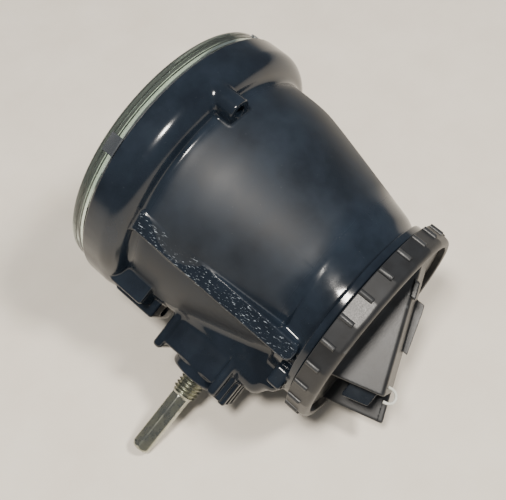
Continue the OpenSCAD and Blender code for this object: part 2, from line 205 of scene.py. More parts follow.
def moulded_body(name, base):
    """Gloss moulded PBT: blue black with a cloudy haze, flow waves, dust, and pale strokes on the rails:
    scuffs, with a painted glint in their colour.
    """
    made, add, where = new_material(name)
    at = {"Vector": where}
    cloud = add(NOISE, {"Scale": per_mm(16), "Detail": 4, "Roughness": 0.55}, at)
    fine = add(NOISE, {"Scale": per_mm(0.5), "Detail": 2}, at)
    flow = add(NOISE, {"Scale": per_mm(11), "Detail": 1}, at)
    speck = add(NOISE, {"Scale": per_mm(0.8), "Detail": 4, "Roughness": 0.7}, at)
    dust = add(RANGE, ramp(0.69, 0.74, 0, 0.35), {"Value": speck})
    # Pale strokes on the rail tops, which one attribute marks: scuffs, whose pale colour also paints
    # their glint; the other marks the hazy barrel
    slanted = {"Rotation": (0.4, 0.2, 0.55), "Scale": (1, 0.16, 1)}
    turned = add("ShaderNodeMapping", slanted, at)
    strokes = {"Scale": per_mm(0.45), "Detail": 3, "Roughness": 0.65}
    stroke = add(NOISE, strokes, {"Vector": turned})
    stroke = add(RANGE, ramp(0.61, 0.7, 0, 0.9), {"Value": stroke})
    rubbed = add("ShaderNodeAttribute", {"attribute_name": "rubbed"}, out="Fac")
    pale_marks = add("ShaderNodeMath", {"operation": "MULTIPLY"}, {0: stroke, 1: rubbed})
    blend = add(RANGE, ramp(0.35, 0.7, 0, 1), {"Value": cloud})
    tint = add(MIX, two_tones(base, "#1d252f"), {0: blend}, 2)
    tint = add(MIX, over("#70767b"), {0: dust, 6: tint}, 2)
    # Painted glint on the rail tops: pale blue grey strokes, partly real scuffs
    tint = add(MIX, over("#9fa9b3"), {0: pale_marks, 6: tint}, 2)
    rough = add(RANGE, ramp(0.35, 0.65, 0.11, 0.18), {"Value": cloud})
    hazed = add("ShaderNodeAttribute", {"attribute_name": "haze"}, out="Fac")
    rough = add("ShaderNodeMath", {"operation": "MULTIPLY_ADD", 1: 0.38}, {0: hazed, 2: rough})
    relief = add(BUMP, bump_by(0.04, 0.2), {"Height": flow})
    relief = add(BUMP, bump_by(0.01, 0.25), {"Height": fine, "Normal": relief})
    relief = add(BUMP, bump_by(0.03, 0.5), {"Height": pale_marks, "Normal": relief})
    links = {"Base Color": tint, "Roughness": rough, "Normal": relief}
    return finish_material(made, add, {"IOR": 1.5}, links)


def moulded_cap(name, base):
    """Glass-filled nylon with a fine eroded grain: dark grey, satin, with paler edges."""
    made, add, where = new_material(name)
    at = {"Vector": where}
    grain = add(NOISE, {"Scale": per_mm(0.35), "Detail": 3, "Roughness": 0.6}, at)
    cloud = add(NOISE, {"Scale": per_mm(6), "Detail": 2}, at)
    edge = add("ShaderNodeNewGeometry", out="Pointiness")
    # Paler on the convex edges, by pointiness
    pale_marks = add(RANGE, ramp(0.53, 0.6, 0, 0.3), {"Value": edge})
    blend = add(RANGE, ramp(0.3, 0.7, 0, 1), {"Value": cloud})
    tint = add(MIX, two_tones(base, "#222427"), {0: blend}, 2)
    tint = add(MIX, over("#5a5d60"), {0: pale_marks, 6: tint}, 2)
    rough = add(RANGE, ramp(0.3, 0.7, 0.36, 0.48), {"Value": grain})
    relief = add(BUMP, bump_by(0.03, 0.35), {"Height": grain})
    links = {"Base Color": tint, "Roughness": rough, "Normal": relief}
    return finish_material(made, add, {"IOR": 1.53}, links)


def pressed_glass(name, base):
    """Pressed soda-lime glass: clear, faint green, slightly wavy."""
    made, add, where = new_material(name)
    wave = add(NOISE, {"Scale": per_mm(9), "Detail": 1}, {"Vector": where})
    rough = add(RANGE, ramp(0.3, 0.7, 0.01, 0.04), {"Value": wave})
    relief = add(BUMP, bump_by(0.02, 0.1), {"Height": wave})
    settings = {"Base Color": linear(base), "IOR": 1.52, "Transmission Weight": 0.97}
    return finish_material(made, add, settings, {"Roughness": rough, "Normal": relief})


def quartz_glass(name):
    """Drawn quartz tube: clear and colourless."""
    made, add, where = new_material(name)
    wave = add(NOISE, {"Scale": per_mm(5), "Detail": 1}, {"Vector": where})
    relief = add(BUMP, bump_by(0.01, 0.1), {"Height": wave})
    settings = {"Base Color": linear("#f4f7f8"), "Roughness": 0.01, "IOR": 1.46}
    settings["Transmission Weight"] = 1.0
    return finish_material(made, add, settings, {"Normal": relief})


def plated_steel(name, base, tinge):
    """Zinc-plated steel: bright grey, passivation in clouds, darker spots and drawing lines."""
    made, add, where = new_material(name)
    at = {"Vector": where}
    along = add("ShaderNodeMapping", {"Scale": (0.06, 1, 1)}, at)
    cloud = add(NOISE, {"Scale": per_mm(3.5), "Detail": 3, "Roughness": 0.6}, at)
    speck = add(NOISE, {"Scale": per_mm(1.4), "Detail": 3, "Roughness": 0.7}, at)
    lines = add(NOISE, {"Scale": per_mm(0.3), "Detail": 2}, {"Vector": along})
    blend = add(RANGE, ramp(0.35, 0.65, 0, 1), {"Value": cloud})
    spots = add(RANGE, ramp(0.58, 0.7, 0, 0.6), {"Value": speck})
    tint = add(MIX, two_tones(base, tinge), {0: blend}, 2)
    tint = add(MIX, over("#5d6055"), {0: spots, 6: tint}, 2)
    rough = add(RANGE, ramp(0.3, 0.7, 0.2, 0.38), {"Value": cloud})
    relief = add(BUMP, bump_by(0.01, 0.35), {"Height": lines})
    links = {"Base Color": tint, "Roughness": rough, "Normal": relief}
    return finish_material(made, add, {"Metallic": 1.0}, links)


def aluminised(name):
    """Vacuum-aluminised lacquer: a bright mirror with a slight orange peel."""
    made, add, where = new_material(name)
    cloud = add(NOISE, {"Scale": per_mm(8), "Detail": 2}, {"Vector": where})
    peel = add(NOISE, {"Scale": per_mm(2.5), "Detail": 1}, {"Vector": where})
    rough = add(RANGE, ramp(0.3, 0.7, 0.04, 0.1), {"Value": cloud})
    relief = add(BUMP, bump_by(0.01, 0.1), {"Height": peel})
    settings = {"Base Color": linear("#e4e6e8"), "Metallic": 1.0}
    return finish_material(made, add, settings, {"Roughness": rough, "Normal": relief})


def plain_finish(name, base, second, rough, size, depth, metal=False):
    """Rubber, sealant, paint, wire or nylon: two close tones, grain of a size and depth."""
    made, add, where = new_material(name)
    grains = {"Scale": per_mm(size), "Detail": 3, "Roughness": 0.6}
    grain = add(NOISE, grains, {"Vector": where})
    blend = add(RANGE, ramp(0.3, 0.7, 0, 1), {"Value": grain})
    tint = add(MIX, two_tones(base, second), {0: blend}, 2)
    gloss = add(RANGE, ramp(0.3, 0.7, rough, rough + 0.1), {"Value": grain})
    relief = add(BUMP, bump_by(depth, 0.3), {"Height": grain})
    links = {"Base Color": tint, "Roughness": gloss, "Normal": relief}
    return finish_material(made, add, {"Metallic": 1.0} if metal else {"IOR": 1.5}, links)


FINISHES = {}


def make_finishes(colours):
    """Makes each finish once, by its name."""
    FINISHES.update(
        body=moulded_body("moulded PBT, gloss", colours.body),
        cap=moulded_cap("glass-filled nylon, eroded grain", colours.cap),
        lens=pressed_glass("soda-lime glass, pressed", colours.glass),
        quartz=quartz_glass("quartz glass, drawn"),
        zinc=plated_steel("steel, zinc plated and passivated", colours.zinc, "#a9ab9b"),
        pressed=plated_steel("steel, pressed and zinc plated", "#aeb1b3", "#9a9d9e"),
        mirror=aluminised("steel, vacuum aluminised"),
        # Nitrile O-rings: matt, near black, a dull skin
        rubber=plain_finish("nitrile rubber, moulded", "#191a1b", "#222324", 0.62, 0.8, 0.01),
        # Cured sealant: grey black with a soft shine
        sealant=plain_finish("silicone sealant, cured", "#303236", "#3c3e41", 0.4, 2.0, 0.06),
        # Spring wire: bright and hard, with die lines
        spring=plain_finish("stainless steel, spring hard", "#c3c6c8", "#a9acae", 0.2, 0.5, 0.005, True),
        # Baked heatproof paint: nearly black, dry
        paint=plain_finish("steel, heatproof paint", "#222326", "#2c2d30", 0.5, 0.5, 0.01),
        # Tungsten coil: dark grey metal
        tungsten=plain_finish("tungsten, drawn", "#8a857c", "#77736c", 0.35, 0.3, 0.004, True),
        # Stamped brass: warm, slightly dulled
        brass=plain_finish("brass, stamped", "#c2a265", "#a98a52", 0.28, 0.7, 0.006, True),
        # Silicone sleeve: dull red brown
        silicone=plain_finish("silicone sleeve, extruded", "#6a2320", "#5a1e1c", 0.45, 1.0, 0.01),
        # Natural nylon: milky white
        nylon=plain_finish("nylon, natural", "#c9cbc4", "#b6b8b1", 0.4, 1.0, 0.01),
    )


# ---------------------------------------------------------------- mesh making


def new_piece(name, points, faces, finish, body, slot, replaced=(), smooth_angle=35.0):
    """A mesh piece from lamp points in millimetres, riding on a CAD body."""
    mesh = bpy.data.meshes.new(name)
    mesh.from_pydata([LAMP @ Vector(p) for p in points], [], faces)
    mesh.validate()
    mesh.update()
    piece = bpy.data.objects.new(name, mesh)
    bpy.context.scene.collection.objects.link(piece)
    mesh.materials.append(FINISHES[finish])
    mesh.shade_smooth()
    mesh.set_sharp_from_angle(angle=math.radians(smooth_angle))
    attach(piece, body)
    if replaced:
        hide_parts(*replaced)
    return piece


def ring_angles(count):
    """Evenly spaced angles round a full turn."""
    return [2 * math.pi * i / count for i in range(count)]


def lathe(outline, count=160, shift=0.0, swell=None):
    """Turns a closed outline of (radius, y) about an axis along Y; swell(angle, i) adds to a radius."""
    angles = ring_angles(count) if isinstance(count, int) else count
    points, rows = [], []
    for i, (radius, y) in enumerate(outline):
        if radius < 1e-6:
            points.append((shift, y, 0))
            rows.append([len(points) - 1] * len(angles))
            continue
        row = []
        for angle in angles:
            r = radius + (swell(angle, i) if swell else 0)
            points.append((shift + r * math.cos(angle), y, r * math.sin(angle)))
            row.append(len(points) - 1)
        rows.append(row)
    faces = []
    for i, row in enumerate(rows):
        other = rows[(i + 1) % len(rows)]
        if row[0] == row[1] and other[0] == other[1]:
            continue
        for j in range(len(angles)):
            k = (j + 1) % len(angles)
            corners = [row[j], other[j], other[k], row[k]]
            faces.append([c for n, c in enumerate(corners) if c not in corners[:n]])
    return points, faces


def merge(*parts):
    """Joins (points, faces) parts into one."""
    points, faces = [], []
    for more_points, more_faces in parts:
        first = len(points)
        points += list(more_points)
        faces += [[first + c for c in face] for face in more_faces]
    return points, faces


def arc(centre, radius, start, end, steps=8):
    """Points of an arc between two angles in degrees."""
    sweep = [math.radians(start + (end - start) * i / steps) for i in range(steps + 1)]
    return [(centre[0] + radius * math.cos(a), centre[1] + radius * math.sin(a)) for a in sweep]


def stacked(count, sides):
    """Faces round a stack of rings of points, closed by flat ends."""
    faces = []
    for first in range(0, (count - 1) * sides, sides):
        for j in range(sides):
            k = (j + 1) % sides
            faces.append([first + j, first + k, first + sides + k, first + sides + j])
    last = (count - 1) * sides
    return faces + [list(range(sides - 1, -1, -1)), [last + j for j in range(sides)]]


def tube(path, radius, sides=20):
    """A round tube along a smooth path of points, with flat ends."""
    path = [Vector(p) for p in path]
    points = []
    side = path[1] - path[0]
    side = side.normalized().orthogonal().normalized()
    for i, p in enumerate(path):
        run = (path[min(i + 1, len(path) - 1)] - path[max(i - 1, 0)]).normalized()
        side = (side - run * side.dot(run)).normalized()
        other = run.cross(side)
        points += [
            p + radius * (math.cos(a) * side + math.sin(a) * other) for a in ring_angles(sides)
        ]
    return points, stacked(len(path), sides)


def sector(outline, middle, half, shift=0.0, steps=12):
    """Part of a turn of an outline between two flat ends, with its angles in degrees."""
    angles = [math.radians(middle + half * (2 * i / steps - 1)) for i in range(steps + 1)]
    points, faces = lathe(outline, angles, shift)
    wide, rows = steps + 1, len(outline)
    faces = [f for f in faces if not {c % wide for c in f} >= {0, steps}]
    faces += [[wide * i for i in range(rows)], [wide * i + steps for i in range(rows)][::-1]]
    return points, faces


def curve_through(stops, steps=6):
    """A smooth path through stops, by Catmull-Rom."""
    stops = [Vector(s) for s in stops]
    ends = [stops[0] * 2 - stops[1]] + stops + [stops[-1] * 2 - stops[-2]]
    path = []
    for i in range(1, len(ends) - 2):
        a, b, c, d = ends[i - 1 : i + 3]
        for n in range(steps):
            t = n / steps
            path.append(0.5 * (2 * b + (c - a) * t + (2 * a - 5 * b + 4 * c - d) * t**2
                               + (3 * b - a - 3 * c + d) * t**3))
    return path + [stops[-1]]


# ---------------------------------------------------------------- blended solids


def join(a, b, blend):
    """Union of two distance fields with a fillet."""
    h = np.maximum(blend - np.abs(a - b), 0) / blend
    return np.minimum(a, b) - h * h * blend / 4


def common(a, b, blend):
    """Intersection of two distance fields with a rounded edge."""
    return -join(-a, -b, blend)


def box_field(x, y, z, low, high, rounding):
    """Distance to a box with rounded edges."""
    q = [np.abs(v - (l + h) / 2) - (h - l) / 2 + rounding for v, l, h in zip((x, y, z), low, high)]
    outside = np.sqrt(sum(np.maximum(v, 0) ** 2 for v in q))
    return outside + np.minimum(np.maximum(np.maximum(q[0], q[1]), q[2]), 0) - rounding


def rod_field(across, along, radius, start, end, edge):
    """Distance to a cylinder, from distances across and along its axis."""
    return common(across - radius, np.maximum(start - along, along - end), edge)


def turned(a, b, degrees):
    """Two coordinates as seen from a frame turned from the first axis towards the second."""
    c, s = math.cos(math.radians(degrees)), math.sin(math.radians(degrees))
    return a * c + b * s, b * c - a * s


def rounded_corner(over, behind, corner):
    """Distance to two square faces that meet in a rounded corner."""
    a, b = over + corner, behind + corner
    return np.hypot(np.maximum(a, 0), np.maximum(b, 0)) + np.minimum(np.maximum(a, b), 0) - corner


def surface_of(field, low, high, cell):
    """Points and quads of a distance field's surface, with each point moved onto the surface."""
    axes = [np.arange(l, h + cell, cell, dtype=np.float32) for l, h in zip(low, high)]
    grid = np.meshgrid(*axes, indexing="ij", sparse=True)
    values = field(*grid).astype(np.float32)
    inside = values < 0
    shape = [n - 1 for n in values.shape]
    corners = [(i, j, k) for i in (0, 1) for j in (0, 1) for k in (0, 1)]
    slices = [tuple(slice(o, o + n) for o, n in zip(c, shape)) for c in corners]
    count = sum(inside[s].astype(np.int8) for s in slices)
    cells = np.argwhere((count > 0) & (count < 8))
    number = np.full(shape, -1, dtype=np.int64)
    number[tuple(cells.T)] = np.arange(len(cells))
    total = np.zeros((len(cells), 3))
    weight = np.zeros(len(cells))
    for a in range(8):
        for b in range(a + 1, 8):
            if sum(p != q for p, q in zip(corners[a], corners[b])) != 1:
                continue
            va = values[tuple((cells + corners[a]).T)]
            vb = values[tuple((cells + corners[b]).T)]
            cross = (va < 0) != (vb < 0)
            t = np.where(cross, va / np.where(cross, va - vb, 1), 0)[:, None]
            spot = np.array(corners[a]) * (1 - t) + np.array(corners[b]) * t
            total += spot * cross[:, None]
            weight += cross
    points = (cells + total / weight[:, None]) * cell + np.array(low)
    step = cell * 0.2
    for _ in range(3):
        value = field(*points.T)
        slope = np.stack([
            (field(*(points + offset).T) - field(*(points - offset).T)) / (2 * step)
            for offset in np.eye(3) * step
        ], axis=1)
        size = np.maximum((slope**2).sum(axis=1), 0.2)
        move = -(value / size)[:, None] * slope
        points = points + np.clip(move, -cell * 0.6, cell * 0.6)
    quads = []
    for axis in range(3):
        others = [a for a in range(3) if a != axis]
        near = [slice(None)] * 3
        far = [slice(None)] * 3
        near[axis], far[axis] = slice(0, -1), slice(1, None)
        change = inside[tuple(near)] != inside[tuple(far)]
        spots = np.argwhere(change)
        ok = np.all([(spots[:, o] > 0) & (spots[:, o] < shape[o]) for o in others], axis=0)
        spots = spots[ok]
        ring = []
        for da, db in ((0, 0), (1, 0), (1, 1), (0, 1)):
            at = spots.copy()
            at[:, others[0]] -= da
            at[:, others[1]] -= db
            ring.append(number[tuple(at.T)])
        quad = np.stack(ring, axis=1)
        turned = inside[tuple(near)][tuple(spots.T)] == (axis == 1)
        quad[turned] = quad[turned][:, ::-1]
        quads.append(quad)
    return points, np.concatenate(quads)


def blended_piece(name, field, low, high, cell, finish, body, slot, replaced, faces_kept):
    """A piece from a distance field, thinned to a number of faces; also its lamp points."""
    points, quads = surface_of(field, low, high, cell)
    piece = new_piece(name, points.tolist(), quads.tolist(), finish, body, slot, replaced, 180)
    if len(quads) * 2 > faces_kept:
        thin = piece.modifiers.new("thin", "DECIMATE")
        thin.ratio = faces_kept / (len(quads) * 2)
        bpy.context.view_layer.update()
        bpy.context.view_layer.objects.active = piece
        apply_all(piece)
    return piece, set_field_normals(piece, field)


def apply_all(piece):
    """Applies a piece's modifiers to its mesh."""
    graph = bpy.context.evaluated_depsgraph_get()
    made = bpy.data.meshes.new_from_object(piece.evaluated_get(graph))
    old = piece.data
    piece.modifiers.clear()
    piece.data = made
    made.name = piece.name
    bpy.data.meshes.remove(old)


def set_field_normals(piece, field):
    """Shades a mesh by its field's slope, which is smoother than its faces."""
    mesh = piece.data
    spots = np.empty(len(mesh.vertices) * 3)
    mesh.vertices.foreach_get("co", spots)
    to_lamp = np.array(LAMP.inverted())
    spots = spots.reshape(-1, 3) @ to_lamp[:3, :3].T + to_lamp[:3, 3]
    step = 0.06
    slope = np.stack([
        field(*(spots + offset).T) - field(*(spots - offset).T) for offset in np.eye(3) * step
    ], axis=1)
    turn = np.array(LAMP)[:3, :3] / MM
    normals = slope @ turn.T
    normals /= np.maximum(np.linalg.norm(normals, axis=1), 1e-9)[:, None]
    mesh.shade_smooth()
    mesh.normals_split_custom_set_from_vertices(normals.tolist())
    return spots


def set_attribute(piece, name, values):
    """Stores one number for each point, for a material to read."""
    made = piece.data.attributes.new(name, "FLOAT", "POINT")
    made.data.foreach_set("value", np.clip(values, 0, 1).astype(np.float32))


# ---------------------------------------------------------------- shapes of the moulded pieces


def barrel_radius(y, sizes):
    """Radius of the barrel at a distance behind the collar's front edge: a drum, then a cone."""
    cone_slope, cone_end, soft = 0.277, 77.6, 0.7
    cone = sizes.tail_r + 0.5 + cone_slope * (cone_end - y)
    half = (sizes.barrel_r - cone) / 2
    return (sizes.barrel_r + cone) / 2 - np.hypot(half, soft)


def rail_frame(x, y, z):
    """Coordinates across, along and square to a rail's top."""
    dip, splay, facing = 9.5, 1.8, 22
    across, along, height = x - 24.6, y - 12.4, z - 42.1
    along, height = turned(along, height, -dip)
    across, along = turned(across, along, -splay)
    across, height = turned(across, height, -facing)
    return across, along, height


def rail(x, y, z):
    """A flat-topped rail along the barrel's side, sunk into it."""
    half_wide, middle, half_long, end_round = 4.1, 36, 37, 3.2
    across, along, height = rail_frame(x, y, z)
    flat = rounded_corner(
        np.abs(across) - half_wide, np.abs(along - middle) - half_long, end_round
    )
    return common(flat, np.maximum(height, -9 - height), 1.1)


def screw_boss(x, y, z, screw_y):
    """The block and sleeve that hold the aiming screw, with two walls and a ribbed tab."""
    solid = box_field(x, y, z, (30, 39, -11.6), (56.5, 66.5, 11.6), 1.2)
    for low in (37.5, 64.2):
        wall = box_field(x, y, z, (38, low, -12.8), (59.6, low + 3.8, 12.8), 1.6)
        solid = join(solid, wall, 0.9)
    sleeve = rod_field(np.hypot(y - screw_y, z), x, 11.2, 38, 60.4, 1.2)
    solid = join(solid, sleeve, 0.9)
    tab = box_field(x, y, z, (46, 66, -7), (60, 70.2, 9), 0.6)
    for low in (-6.6, -1.2, 4.2):
        rib = box_field(x, y, z, (46, 69, low), (61, 71.8, low + 2.6), 0.7)
        tab = join(tab, rib, 0.5)
    return join(solid, tab, 0.8)


def lug(x, y, z):
    """The stepped blocks at the fixing point beside the screw."""
    outer = box_field(x, y, np.abs(z), (36, 12, 9), (50.4, 27.4, 20.2), 1.0)
    middle = box_field(x, y, z, (40, 12, -9.6), (53.8, 30.4, 9.6), 1.0)
    return join(outer, middle, 0.3)


def pillar(x, y, z, degrees):
    """A fixing pillar that runs back from the collar."""
    px, pz = turned(x, z, degrees)
    half, start, end = 4.5, 2.5, 21.8
    post = rod_field(np.hypot(px - FIXING_R, pz), y, half, start, end, 0.7)
    foot = box_field(px, y, pz, (40, start, -half), (FIXING_R, end, half), 0.5)
    return join(post, foot, 0.4)


def housing_field(sizes):
    """The distance field of the moulded body."""

    def barrel(x, y, z, skin, start):
        reach = np.hypot(x, z) - barrel_radius(y, sizes) + skin
        solid = common(reach * 0.95, y - BARREL_END + skin, 9)
        return common(solid, start - y, 0.5)

    def outside(x, y, z, reach, about_cap):
        disc = rounded_corner(reach - sizes.collar_r, y - sizes.collar_depth, 7.5)
        disc = common(disc, -y, 0.8)
        solid = join(barrel(x, y, z, 0, 2), disc, 2.2)
        keel = box_field(x, y, z, (20, 8, -12.5), (44.5, 84, 12.5), 2.5)
        belly = box_field(x, y, z, (24, 66, -12), (50.2, 80, 12), 5)
        solid = join(solid, join(keel, belly, 4), 5)
        for side in (1, -1):
            solid = join(solid, rail(x, y, z * side), 0.9)
        solid = join(solid, screw_boss(x, y, z, sizes.screw_y), 1.6)
        solid = join(solid, lug(x, y, z), 1.0)
        for degrees in (120, 240):
            solid = join(solid, pillar(x, y, z, degrees), 1.2)
        solid = join(solid, rod_field(about_cap, y, NECK_R, 76, NECK_END, 0.8), 2.5)
        flange = rod_field(about_cap, y, FLANGE_R, FLANGE_START, FLANGE_END, 0.7)
        solid = join(solid, flange, 0.8)
        for low in (10, 17.5):
            catch = box_field(x, y, z, (33, 80, low), (40.6, 86, low + 4.2), 1.2)
            solid = join(solid, catch, 0.8)
        return solid

    def field(x, y, z):
        reach = np.hypot(x, z)
        about_cap = np.hypot(x - sizes.ring_shift, z)
        hollow = barrel(x, y, z, sizes.wall, 1.5)
        hollow = join(hollow, rod_field(about_cap, y, 32, 76, 96, 0.5), 1)
        hollow = np.minimum(hollow, rod_field(reach, y, CHAMBER_R, -3, 3, 0.5))
        solid = common(outside(x, y, z, reach, about_cap), -hollow, 0.6)
        for degrees in (0, 120, 240):
            px, pz = turned(x, z, degrees)
            pilot = rod_field(np.hypot(px - FIXING_R, pz), y, 2.1, 14, 40, 0.3)
            solid = common(solid, -pilot, 0.6)
        gland = np.maximum(rod_field(about_cap, y, 36.6, 86.5, 90, 0.1), 34.6 - about_cap)
        solid = common(solid, -gland, 0.3)
        bore = rod_field(np.hypot(y - sizes.screw_y, z), x, 7.5, 50, 70, 0.3)
        guide = box_field(x, y, z, (39.3, 49.5, -6.4), (51, 62.3, 6.4), 0.3)
        return common(solid, -np.minimum(bore, guide), 0.5)

    return field


def shell_field(sizes):
    """The distance field of the rear panel and its wedge-shaped connector housing."""
    mouth_lean = math.radians(16.5)
    back_slope = math.atan(0.421)
    draft_back, draft_down = 0.07, 0.06

    def field(x, y, z):
        panel = rod_field(np.hypot(x - sizes.ring_shift, z), y, PANEL_R, PANEL_START, PANEL_END, 0.5)
        back = (y - 95.6) * math.cos(back_slope) - (x + 24) * math.sin(back_slope)
        leaning = x + (y - 95) * math.tan(mouth_lean)
        mouth = (leaning - 25.6) * math.cos(mouth_lean)
        lip = (leaning - 37.5) * math.cos(mouth_lean)
        sides = np.abs(z) - 14.5 + (y - 95) * draft_back + (25 - x) * draft_down
        wedge = common(common(back, sides, 1.6), mouth, 0.8)
        wedge = common(wedge, -24 - x, 1.2)
        ledge = common(common(back, np.maximum(-13.4 - z, z + 11.2), 0.8), lip, 0.9)
        ledge = common(ledge, -x, 0.5)
        outer = join(np.maximum(wedge, 93 - y), np.maximum(ledge, 93.4 - y), 0.6)
        cavity = np.maximum(back + 2.2, np.abs(z) - 11.2)
        cavity = np.maximum(cavity, np.maximum(4 - x, 95.4 - y))
        solid = join(panel, outer, 0.8)
        fin = common((y - 110) * 0.92 - (x - 5) * 0.31, -(x + 13), 0.8)
        fin = np.maximum(np.maximum(fin, np.abs(z + 8.2) - 0.8), np.maximum(back - 3.2, 98 - y))
        pad = box_field(x, back, z, (-18, -1, 8), (-12.2, 1.1, 12.5), 0.4)
        solid = join(solid, join(np.maximum(fin, x - 5), pad, 0.3), 0.5)
        return common(solid, -cavity, 0.5)

    return field


# ---------------------------------------------------------------- operators


class FogLightPiece:
    """What the piece operators share."""

    bl_options = {"REGISTER", "UNDO"}

    @staticmethod
    def sizes():
        """The lamp's sizes."""
        return bpy.context.scene.fog_light_sizes


class OBJECT_OT_fog_housing(FogLightPiece, bpy.types.Operator):
    """Moulded body with its collar, rails, boss, lug, pillars and neck"""

    bl_idname = "object.fog_housing"
    bl_label = "Housing"

    def execute(self, context):
        cell = 0.62
        sizes = self.sizes()
        piece, spots = blended_piece(
            "moulded_body", housing_field(sizes), (-57, -2, -57), (64, 95, 57), cell,
            "body", "lamp", "body_plastic", ("housing",), 190000)
        x, y, z = spots.T
        across, along, height = rail_frame(x, y, np.abs(z))
        # The rail tops, where the pale strokes are laid: scuffs with a painted glint
        top = (np.abs(across) < 3.8) * (along > 0) * (along < 72.4) * (np.abs(height) < 0.4)
        set_attribute(piece, "rubbed", top)
        drum = np.abs(np.hypot(x, z) - barrel_radius(y, sizes)) < 0.5
        ends = np.clip((y - 17) / 4, 0, 1) * np.clip((74 - y) / 8, 0, 1)
        set_attribute(piece, "haze", drum * ends)
        return {"FINISHED"}


class OBJECT_OT_fog_lens(FogLightPiece, bpy.types.Operator):
    """Domed glass with a stepped skirt, its sealant bead and its edge clips"""

    bl_idname = "object.fog_lens"
    bl_label = "Lens, seal and clips"

    def execute(self, context):
        s = self.sizes()
        top = -s.lens_skirt
        shoulder, thick, foot_y = 1.4, 3.2, -1.5
        rim = s.lens_r - 1.5
        dome_r = (rim**2 + s.lens_rise**2) / (2 * s.lens_rise)
        centre = top - s.lens_rise + dome_r

        def dome(radius, edge, steps=20):
            sweep = [math.asin(edge / radius) * i / steps for i in range(steps + 1)]
            return [(radius * math.sin(a), centre - radius * math.cos(a)) for a in sweep]

        outline = dome(dome_r, rim)
        outline += arc((s.lens_r - shoulder, top + shoulder), shoulder, -75, 0, 6)
        for y in (top + 2.4, top + 4.4):
            groove = ((0, 0), (0.12, 0.12), (0.3, 0.3), (0.12, 0.48), (0, 0.6))
            outline += [(s.lens_r - depth, y + along) for depth, along in groove]
        outline += [(s.lens_r, foot_y), (s.lens_r - 0.25, foot_y + 0.25)]
        outline += [(s.lens_r - 4, foot_y + 0.25), (s.lens_r - 4.2, foot_y)]
        outline += dome(dome_r - thick, s.lens_r - 4.6)[::-1]
        new_piece("lens_glass", *lathe(outline, 200), "lens", "lamp", "lens_glass", ("lens",))
        bead = [(49, -1.2), (52.3, -1.2)] + arc((52.3, -0.62), 0.58, -90, 90, 6)
        bead += [(50.4, -0.03), (50.4, 0.8), (49, 0.8)]
        new_piece("sealant_bead", *lathe(bead, 160), "sealant", "lamp", "seal_adhesive",
                  ("lens_seal",))
        section = ((0.05, -5.4), (0.35, -5.6), (0.72, -5.3), (0.72, -1.1), (0.95, -0.75),
                   (1.5, -0.72), (1.5, -0.1), (0.3, -0.1), (0.15, -1.2), (0.05, -1.3))
        clip = [(s.lens_r + proud, y) for proud, y in section]
        clips = [sector(clip, 80 + 90 * n, 3.8) for n in range(4)]
        new_piece("glass_edge_clips", *merge(*clips), "spring", "lamp", "spring_steel",
                  ("lens_clips",))
        return {"FINISHED"}


class OBJECT_OT_fog_ring(FogLightPiece, bpy.types.Operator):
    """Cap ring with facets, grip ribs, a rounded rear rim and its bayonet hooks"""

    bl_idname = "object.fog_ring"
    bl_label = "Cap ring"

    def execute(self, context):
        s = self.sizes()
        pitch = 2 * math.pi / s.rib_count
        first = math.radians(4.5)
        rib_half, rib_rise, rim_round, inner_r = 1.06, 0.88, 2.2, 37.3
        offsets = [0, 0.35, 0.65, 0.88, 1.0, rib_half, 2.6, 4.2]
        local = sorted({side * offset / s.ring_r for offset in offsets for side in (-1, 1)})
        angles = [first + n * pitch + a for n in range(s.rib_count) for a in local]
        front, far, r = RING_FRONT, RING_FAR, s.ring_r
        # Rows of radius, place along the axis, share of the flat facet and share of the rib
        rows = [(inner_r, front, 0, 0), (r - 0.5, front, 1, 0), (r - 0.1, front + 0.15, 1, 0),
                (r, front + 0.4, 1, 0), (r, front + 0.42, 1, 0.9), (r, front + 0.7, 1, 1),
                (r, front + 5.3, 1, 1), (r, front + 5.6, 1, 0.8), (r, front + 5.65, 1, 0),
                (r, far - 2.3, 1, 0)]
        rim = arc((r - rim_round, far - rim_round), rim_round, 8, 88, 6)
        rows += [(px, py, 0.9 - 0.15 * n, 0) for n, (px, py) in enumerate(rim)]
        rows += [(37.8, far, 0, 0), (inner_r, far - 0.3, 0, 0)]

        def swell(angle, i):
            off = abs(((angle - first) / pitch + 0.5) % 1 - 0.5)
            flat = r * (math.cos(pitch / 2) / math.cos((0.5 - off) * pitch) - 1)
            rise = math.sqrt(max(0.0, 1 - (off * pitch * r / rib_half) ** 2)) * rib_rise
            return flat * rows[i][2] + rise * rows[i][3]

        ring = lathe([row[:2] for row in rows], angles, s.ring_shift, swell)
        section = [(35.1, 88.75), (37.35, 88.72), (37.35, 89.88), (35.1, 89.85)]
        hooks = [sector(section, middle, 13, s.ring_shift) for middle in (30, 150, 270)]
        new_piece("grip_ring", *merge(ring, *hooks), "cap", "rear_cap", "cap_plastic",
                  ("cap_ring",), 28)
        return {"FINISHED"}


